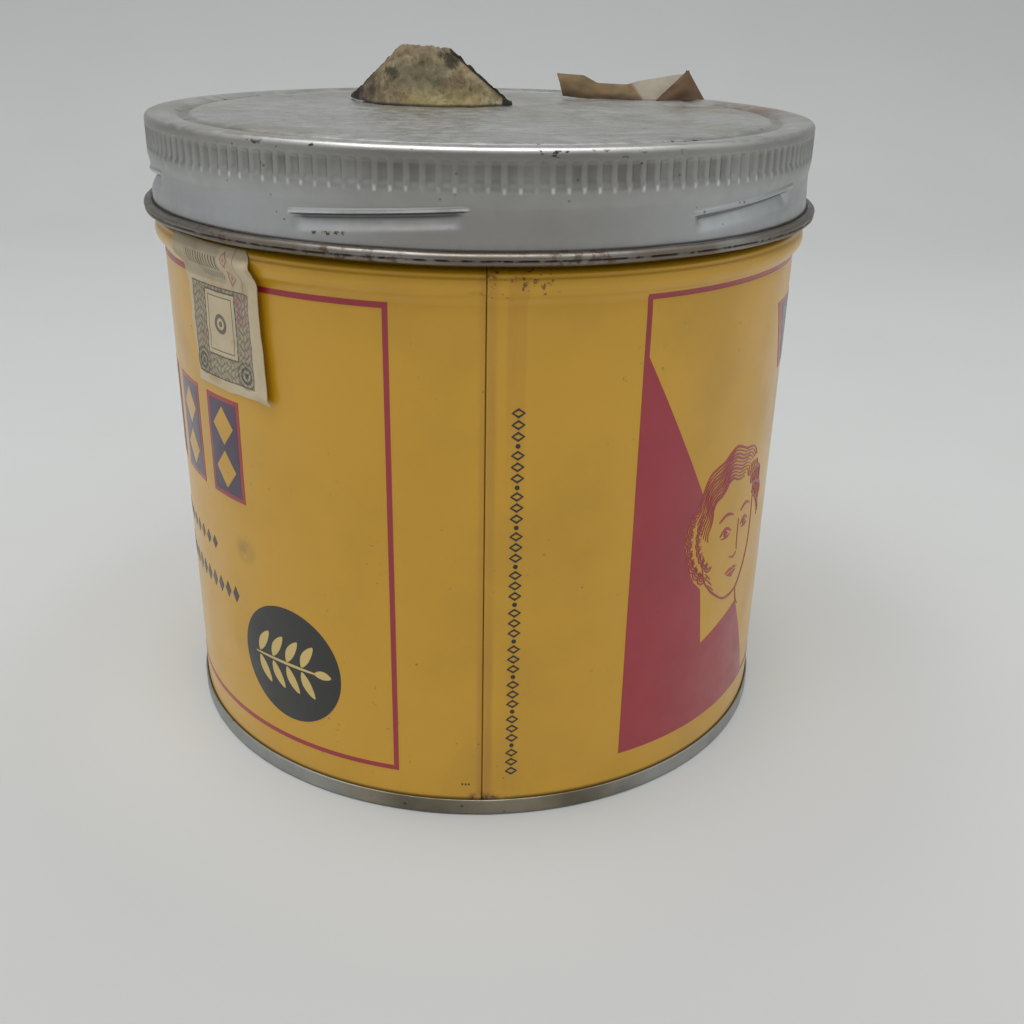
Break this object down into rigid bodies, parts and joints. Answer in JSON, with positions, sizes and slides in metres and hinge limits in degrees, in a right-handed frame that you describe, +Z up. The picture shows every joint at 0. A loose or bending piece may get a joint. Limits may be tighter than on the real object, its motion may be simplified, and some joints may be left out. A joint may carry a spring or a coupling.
{
  "type": "screw-lid tobacco tin",
  "caption": "Round lithographed tinplate tin with a side seam, a double-seamed bottom and a knurled lid that screws off.",
  "frame": {"origin": "centre of the bottom seam's resting plane", "axes": "+Z up along the tin's axis; -Y towards the side seam; +X to the right when facing the seam"},
  "size_m": [0.1108, 0.1108, 0.1124],
  "materials": {
    "lithographed_tinplate": "mustard lithographed varnish, satin",
    "solder": "dull solder",
    "bare_tinplate": "dull bare tinplate, stained",
    "seam_compound": "matte rubber",
    "lid_tinplate": "satin bare tinplate, worn and spotted",
    "waxed_card": "waxed grey-buff card",
    "stamp_paper": "aged cream paper with fine grey printing",
    "mouldy_paper": "mottled mouldy paper",
    "brown_paper": "brown aged paper"
  },
  "bodies": {
    "can": {"can_body": "lithographed_tinplate", "side_seam_solder": "solder", "bottom_end": "bare_tinplate", "bottom_seam_compound": "seam_compound", "side_paper_stamp": "stamp_paper"},
    "liner": {"lid_liner": "waxed_card"},
    "lid": {"lid_shell": "lid_tinplate", "dark_label_scrap": "mouldy_paper", "brown_label_scrap": "brown_paper"}
  },
  "joints": [
    {"name": "lid_rise", "type": "slide", "parent": "can", "child": "liner", "axis": [0, 0, 1], "range_m": [0, 0.0208]},
    {"name": "lid_turn", "type": "hinge", "parent": "liner", "child": "lid", "pos_m": [0, 0, 0.095], "axis": [0, 0, 1], "range_deg": [0, 360]}
  ],
  "couplings": [
    {"joint": "lid_rise", "follows": "lid_turn", "m_per_rad": 0.00331}
  ]
}
